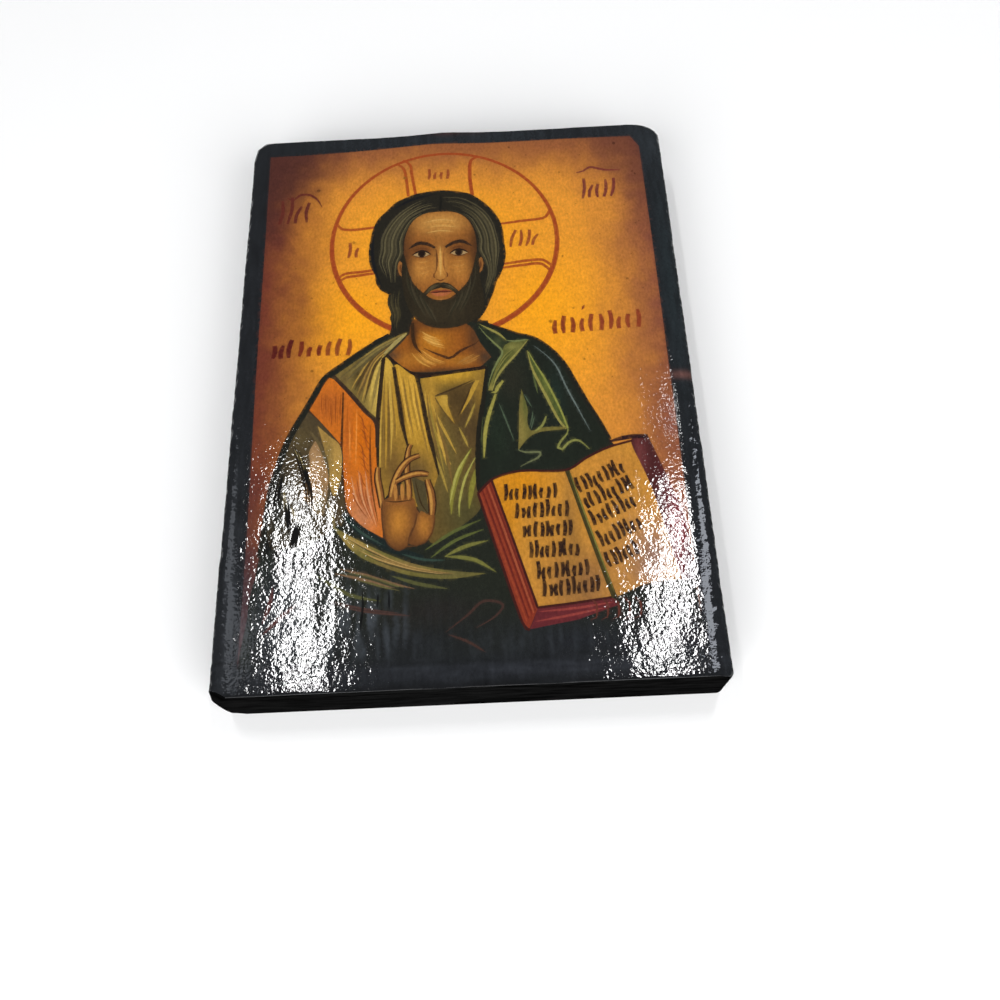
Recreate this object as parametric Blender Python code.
"""Small icon panel: one hand-cut wooden board with a painted face, lying on its back.

Metres, +Z up and out of the picture, +Y towards the head of the picture.
The origin is the centre of the board's footprint on its back.
"""

import math

import bmesh
import bpy
from mathutils import Matrix, Vector

MM = 0.001

# Overall sizes of the board
BOARD_HEIGHT = 128.6 * MM
WIDTH_AT_FOOT = 93.7 * MM
WIDTH_AT_HEAD = 92.7 * MM
BOARD_THICKNESS = 14.5 * MM

# The head edge is straight but for a low hump left of the middle, where two saw cuts met
HUMP_X = -3.0 * MM
HUMP_RISE = 0.55 * MM
HUMP_SPREAD = 7.0 * MM

# Each corner is knocked off over these lengths: along the head or foot, then along the side
HEAD_LEFT_CORNER = (2.0 * MM, 4.4 * MM)
HEAD_RIGHT_CORNER = (4.8 * MM, 4.0 * MM)
FOOT_LEFT_CORNER = (1.0 * MM, 0.8 * MM)
FOOT_RIGHT_CORNER = (0.8 * MM, 0.8 * MM)
CHAMFER_STEPS = 2
ROUND_STEPS = 6

# The front arris is rubbed to a wide soft round on the long sides and a short one at the ends
SIDE_ROUND_WIDTH = 3.6 * MM
END_ROUND_WIDTH = 0.35 * MM
ROUND_DROP = 1.2 * MM
FRONT_ROUND_STEPS = 5
BACK_ARRIS = 0.4 * MM

# Saw and rasp marks stray this far inwards along the sides and the head; the foot is true
EDGE_WANDER = 0.12 * MM
SLOW_WANDER_PITCH = 37.0 * MM
QUICK_WANDER_PITCH = 11.0 * MM
EDGE_STEP = 4.0 * MM

# Splinters lost from the back corners at the foot: reach along the foot, the side and upwards
LEFT_CHIPS = ((1.6 * MM, 1.4 * MM, 5.0 * MM), (4.2 * MM, 1.5 * MM, 2.4 * MM))
RIGHT_CHIPS = ((1.2 * MM, 0.8 * MM, 2.2 * MM),)

# A knock took the front corner off at the left of the foot: the same reaches, but downwards
FRONT_KNOCK = (3.9 * MM, 2.3 * MM, 4.2 * MM)

# Black paint over wood
PAINT_COLOUR = (0.012, 0.013, 0.015, 1.0)
PAINT_ROUGHNESS = 0.32


def clear_scene():
    for old in list(bpy.data.objects):
        bpy.data.objects.remove(old)


def new_collection(name):
    collection = bpy.data.collections.new(name)
    bpy.context.scene.collection.children.link(collection)
    return collection


def black_paint():
    material = bpy.data.materials.new("black_painted_wood")
    material.use_nodes = True
    shader = material.node_tree.nodes["Principled BSDF"]
    shader.inputs["Base Color"].default_value = PAINT_COLOUR
    shader.inputs["Roughness"].default_value = PAINT_ROUGHNESS
    shader.inputs["Metallic"].default_value = 0.0
    return material


def wander(along, phase):
    """How far a sawn edge strays inwards at a place along it."""
    slow = math.sin(2 * math.pi * along / SLOW_WANDER_PITCH + phase)
    quick = math.sin(2 * math.pi * along / QUICK_WANDER_PITCH + 2 * phase)
    return EDGE_WANDER * (0.5 - 0.3 * slow - 0.2 * quick)


def half_width(y):
    """Half the board's width at a height, before its edge strays."""
    share = y / BOARD_HEIGHT + 0.5
    return 0.5 * (WIDTH_AT_FOOT + (WIDTH_AT_HEAD - WIDTH_AT_FOOT) * share)


def head_edge(x):
    """Height of the head edge, which is highest at the hump."""
    hump = math.exp(-(((x - HUMP_X) / HUMP_SPREAD) ** 2))
    return BOARD_HEIGHT / 2 - HUMP_RISE * (1 - hump)


def between(start, end):
    """Evenly spaced places from start to end, about one edge step apart."""
    steps = max(1, round(abs(end - start) / EDGE_STEP))
    return [start + (end - start) * i / steps for i in range(steps + 1)]


def corner_arc(tip, runs, inward, steps, side_first):
    """Inner points of the quarter ellipse that knocks off a corner, in the order of travel.

    tip is the sharp corner, runs its reach along the end and along the side, and
    inward the signs that lead from it into the board.
    """
    points = []
    for i in range(1, steps):
        turn = 0.5 * math.pi * i / steps
        if side_first:
            turn = 0.5 * math.pi - turn
        x = tip[0] + inward[0] * runs[0] * (1 - math.sin(turn))
        y = tip[1] + inward[1] * runs[1] * (1 - math.cos(turn))
        points.append((x, y))
    return points


def board_outline():
    """The board seen from the front, anticlockwise from the left end of the foot."""
    foot = -BOARD_HEIGHT / 2
    foot_half = WIDTH_AT_FOOT / 2
    head_half = WIDTH_AT_HEAD / 2
    left_head = head_edge(-head_half)
    right_head = head_edge(head_half)

    points = [(-foot_half + FOOT_LEFT_CORNER[0], foot)]
    points.append((foot_half - FOOT_RIGHT_CORNER[0], foot))
    points += corner_arc((foot_half, foot), FOOT_RIGHT_CORNER, (-1, 1), ROUND_STEPS, False)
    for y in between(foot + FOOT_RIGHT_CORNER[1], right_head - HEAD_RIGHT_CORNER[1]):
        points.append((half_width(y) - wander(y, 0.4), y))
    points += corner_arc((head_half, right_head), HEAD_RIGHT_CORNER, (-1, -1), ROUND_STEPS, True)
    for x in between(head_half - HEAD_RIGHT_CORNER[0], -head_half + HEAD_LEFT_CORNER[0]):
        points.append((x, head_edge(x) - wander(x, 1.7)))
    points += corner_arc((-head_half, left_head), HEAD_LEFT_CORNER, (1, -1), CHAMFER_STEPS, False)
    for y in between(left_head - HEAD_LEFT_CORNER[1], foot + FOOT_LEFT_CORNER[1]):
        points.append((-half_width(y) + wander(y, 3.1), y))
    points += corner_arc((-foot_half, foot), FOOT_LEFT_CORNER, (1, 1), ROUND_STEPS, True)
    return points


def board_levels():
    """From back to front: how far the edge lies in at the sides and the ends, and its height."""
    levels = [(BACK_ARRIS, BACK_ARRIS, 0.0), (0.0, 0.0, BACK_ARRIS)]
    shoulder = BOARD_THICKNESS - ROUND_DROP
    for i in range(FRONT_ROUND_STEPS + 1):
        turn = 0.5 * math.pi * i / FRONT_ROUND_STEPS
        reach = 1 - math.cos(turn)
        rise = ROUND_DROP * math.sin(turn)
        levels.append((SIDE_ROUND_WIDTH * reach, END_ROUND_WIDTH * reach, shoulder + rise))
    return levels


def level_scale(side_inset, end_inset):
    """The scale about the origin that draws the outline in by these two lengths."""
    return Vector((1 - 2 * side_inset / WIDTH_AT_FOOT, 1 - 2 * end_inset / BOARD_HEIGHT, 1))


def make_board(collection, material):
    bm = bmesh.new()
    corners = [bm.verts.new((x, y, 0)) for x, y in board_outline()]
    face = bm.faces.new(corners)
    last_scale = Vector((1, 1, 1))
    last_height = 0.0
    for number, (side_inset, end_inset, height) in enumerate(board_levels()):
        if number:
            grown = bmesh.ops.extrude_face_region(bm, geom=[face])
            corners = [item for item in grown["geom"] if isinstance(item, bmesh.types.BMVert)]
            if number > 1:
                bmesh.ops.delete(bm, geom=[face], context="FACES_ONLY")
            face = next(item for item in grown["geom"] if isinstance(item, bmesh.types.BMFace))
        scale = level_scale(side_inset, end_inset)
        change = Vector((scale.x / last_scale.x, scale.y / last_scale.y, 1))
        bmesh.ops.scale(bm, vec=change, verts=corners)
        bmesh.ops.translate(bm, vec=(0, 0, height - last_height), verts=corners)
        last_scale = scale
        last_height = height
    bmesh.ops.recalc_face_normals(bm, faces=bm.faces)

    mesh = bpy.data.meshes.new("wooden_board")
    bm.to_mesh(mesh)
    bm.free()
    mesh.materials.append(material)
    mesh.shade_smooth()
    mesh.set_sharp_from_angle(angle=math.radians(35))
    board = bpy.data.objects.new("wooden_board", mesh)
    collection.objects.link(board)
    return board


def chip_cutter(name, collection, tip, side, inward, reach):
    """A block whose face is the broken surface across a corner at the foot of the board.

    side is 1 at the right corner and -1 at the left, inward is 1 for a back corner and -1
    for a front one, and reach says where that surface meets the foot, the side and the
    upright corner, measured from tip.
    """
    on_foot = tip + Vector((-side * reach[0], 0, 0))
    on_side = tip + Vector((0, reach[1], 0))
    on_corner = tip + Vector((0, 0, inward * reach[2]))
    outward = (on_side - on_foot).cross(on_corner - on_foot).normalized()
    if outward.dot(tip - on_foot) < 0:
        outward.negate()
    block = 4 * max(reach)
    middle = (on_foot + on_side + on_corner) / 3 + outward * block / 2

    bm = bmesh.new()
    turned = outward.to_track_quat("Z", "Y").to_matrix().to_4x4()
    bmesh.ops.create_cube(bm, size=block, matrix=Matrix.Translation(middle) @ turned)
    mesh = bpy.data.meshes.new(name)
    bm.to_mesh(mesh)
    bm.free()
    cutter = bpy.data.objects.new(name, mesh)
    collection.objects.link(cutter)
    cutter.hide_render = True
    cutter.display_type = "WIRE"
    return cutter


def chip_corner(board, collection, name, side, height, chips):
    """Break a corner at the foot away, one splinter after another, at the back or the front."""
    tip = Vector((side * WIDTH_AT_FOOT / 2, -BOARD_HEIGHT / 2, height))
    inward = -1 if height else 1
    for number, reach in enumerate(chips, start=1):
        cutter = chip_cutter(f"{name}_{number}", collection, tip, side, inward, reach)
        cut = board.modifiers.new(cutter.name, "BOOLEAN")
        cut.operation = "DIFFERENCE"
        cut.solver = "EXACT"
        cut.object = cutter


clear_scene()
parts = new_collection("icon_panel")
cutters = new_collection("cutters")
board = make_board(parts, black_paint())
chip_corner(board, cutters, "left_chip", -1, 0, LEFT_CHIPS)
chip_corner(board, cutters, "right_chip", 1, 0, RIGHT_CHIPS)
chip_corner(board, cutters, "front_knock", -1, BOARD_THICKNESS, (FRONT_KNOCK,))
